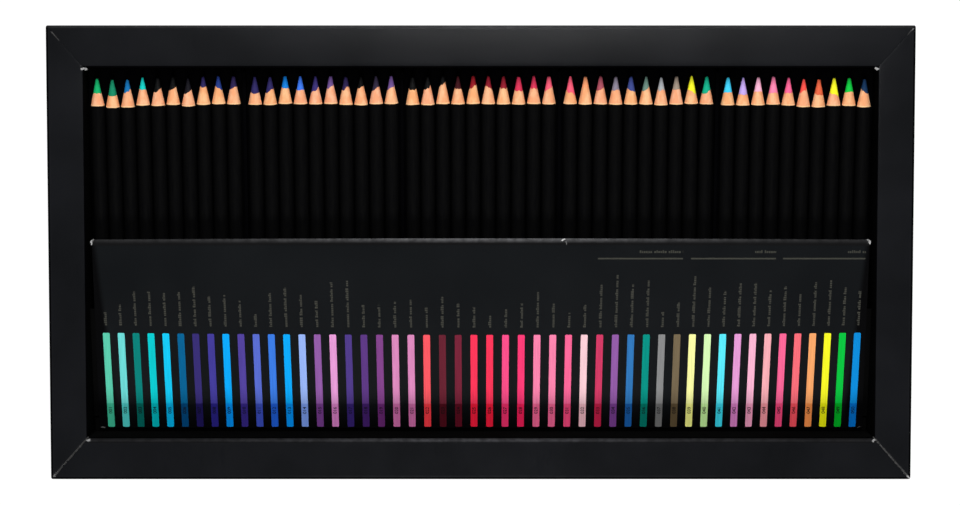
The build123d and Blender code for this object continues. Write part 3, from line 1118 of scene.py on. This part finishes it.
def casing_mesh(name, rows, paint_rows, shift, pinkness):
    """The casing's mesh: lacquer on the painted rows, bare wood elsewhere, palest at its foot."""
    mesh = pencil_mesh(name, rows, tube_faces(rows), shift)
    foot = [1.0 if paint_rows <= row < paint_rows + 2 else 0.0 for row in range(len(rows))]
    store(mesh, "foot", "FLOAT", [value for value in foot for _ in range(SEGMENTS)])
    store(mesh, "pinkness", "FLOAT", [pinkness] * len(mesh.vertices))
    first, end = SEGMENTS, (paint_rows - 1) * SEGMENTS
    for polygon in mesh.polygons:
        polygon.material_index = 0 if first <= polygon.index < end else 1
    return mesh


def lead_mesh(name, rows, shift, colour):
    """The lead's mesh, with its own tint."""
    mesh = pencil_mesh(name, rows, capped_faces(rows), shift)
    store(mesh, "tint", "FLOAT_COLOR", list(linear(PALETTE[colour])) * len(mesh.vertices))
    return mesh


def pencil(index, joint, looks):
    """One pencil: its casing, with lacquer and bare wood, and its lead."""
    body = joint["child"]
    colour, _, exposed, lower_side = PENCILS[index]
    butt = Vector(joint["pos_m"])
    length, slope = pencil_line(body, butt)
    matrix = Matrix.Translation(butt) @ Matrix.Rotation(slope, 4, "X")
    rng = random.Random(PENCIL_SEED + index)
    shift = [rng.uniform(0, 0.4) for _ in range(3)]
    seed = rng.uniform(0, 60)
    painted = length - SHARPENED_LENGTH
    edge = wood_edge(painted, exposed, lower_side, rng)
    point = POINT_RADIUS * rng.uniform(0.65, 1.1)
    cone = sharpened(painted, point)

    rows, paint_rows = casing_rows(painted, cone, edge, seed)
    casing = casing_mesh(body + "_casing", rows, paint_rows, shift, rng.random())
    outside = [looks["paint"], looks["wood"]]
    finished_piece(casing, outside, body, [body], SHARP_ANGLE, matrix)

    rows = lead_rows(painted, length, point, cone, edge, seed)
    lead = lead_mesh(body + "_lead", rows, shift, colour)
    finished_piece(lead, [looks["lead"]], body, [body], SHARP_ANGLE, matrix)


# ---- stage ----

def floor():
    """A plain white floor that shows white and keeps a faint shadow of the object."""
    mesh = bpy.data.meshes.new("floor")
    corners = [(-1, -1), (1, -1), (1, 1), (-1, 1)]
    corners = [(x * FLOOR_HALF, y * FLOOR_HALF, -FLOOR_DROP) for x, y in corners]
    mesh.from_pydata(corners, [], [[0, 1, 2, 3]])
    made = bpy.data.objects.new("floor", mesh)
    bpy.context.scene.collection.objects.link(made)
    material, tree = new_material("floor_white")
    rays = node(tree, "ShaderNodeLightPath").outputs
    seen = calc(tree, "MAXIMUM", rays["Is Camera Ray"], rays["Is Glossy Ray"])
    seen = calc(tree, "MAXIMUM", seen, rays["Is Transmission Ray"])
    share = calc(tree, "MULTIPLY", seen, FLOOR_GLOW_SHARE)
    diffuse = node(tree, "ShaderNodeBsdfDiffuse", {"Color": (0.9, 0.9, 0.9, 1)}).outputs[0]
    glow = node(tree, "ShaderNodeEmission", {"Color": (1, 1, 1, 1), "Strength": FLOOR_GLOW}).outputs[0]
    mixed = node(tree, "ShaderNodeMixShader", {0: share, 1: diffuse, 2: glow})
    node(tree, "ShaderNodeOutputMaterial", {"Surface": mixed.outputs[0]})
    mesh.materials.append(material)


def world():
    """White low down all round, dark overhead, so that upward black faces stay black."""
    made = bpy.data.worlds.new("studio")
    bpy.context.scene.world = made
    made.use_nodes = True
    tree = made.node_tree
    tree.nodes.clear()
    direction = node(tree, "ShaderNodeTexCoord").outputs["Generated"]
    height = node(tree, "ShaderNodeSeparateXYZ", {0: direction}).outputs["Z"]
    share = ranged(tree, height, (0, 1), WORLD_FADE)
    colour = blend(tree, share, (1, 1, 1, 1), (0.03, 0.03, 0.032, 1))
    shader = node(tree, "ShaderNodeBackground", {"Color": colour, "Strength": 1.0})
    node(tree, "ShaderNodeOutputWorld", {"Surface": shader.outputs[0]})


def lamp(name, place, target, size, power):
    """A soft rectangular lamp aimed at a point."""
    data = bpy.data.lights.new(name, "AREA")
    data.shape = "RECTANGLE"
    data.size, data.size_y = size
    data.energy = power
    made = bpy.data.objects.new(name, data)
    made.location = place
    made.rotation_mode = "QUATERNION"
    made.rotation_quaternion = (Vector(target) - Vector(place)).to_track_quat("-Z", "Y")
    made.visible_camera = False
    bpy.context.scene.collection.objects.link(made)


def camera():
    """The photograph's camera."""
    data = bpy.data.cameras.new("camera")
    data.sensor_width = 36
    data.lens = CAMERA_LENS
    data.clip_start, data.clip_end = 0.01, 60
    made = bpy.data.objects.new("camera", data)
    back = Vector((0, math.sin(CAMERA_TILT), math.cos(CAMERA_TILT)))
    made.location = CAMERA_TARGET + back * CAMERA_DISTANCE
    made.rotation_euler = (-CAMERA_TILT, 0, 0)
    bpy.context.scene.collection.objects.link(made)
    bpy.context.scene.camera = made


# ---- the whole scene ----

def dress_nodes(papers):
    """Gives the CAD nodes that stay visible their own finish."""
    for name, paper_name in NODE_PAPERS.items():
        for slot in NODES[name].material_slots:
            slot.link = "OBJECT"
            slot.material = papers[paper_name]


def main():
    """Builds everything in the shared frame."""
    bpy.context.scene.view_settings.view_transform = "Standard"
    papers = {name: board_material(name, *look) for name, look in PAPERS.items()}
    dress_nodes(papers)
    rim(papers)
    panel_card([card_material(), papers["card_hem"]])
    strips(strip_material())
    names(ink_material("dull_gold_ink", (66, 66, 60)))
    numbers(ink_material("black_ink", (14, 14, 17)))
    worn_edges(core_material())
    looks = {"paint": paint_material(), "wood": wood_material(), "lead": lead_material()}
    for index, joint in enumerate(frame["joints"]):
        pencil(index, joint, looks)
    floor()
    world()
    for name, values in LAMPS.items():
        lamp(name, *values)
    camera()


main()
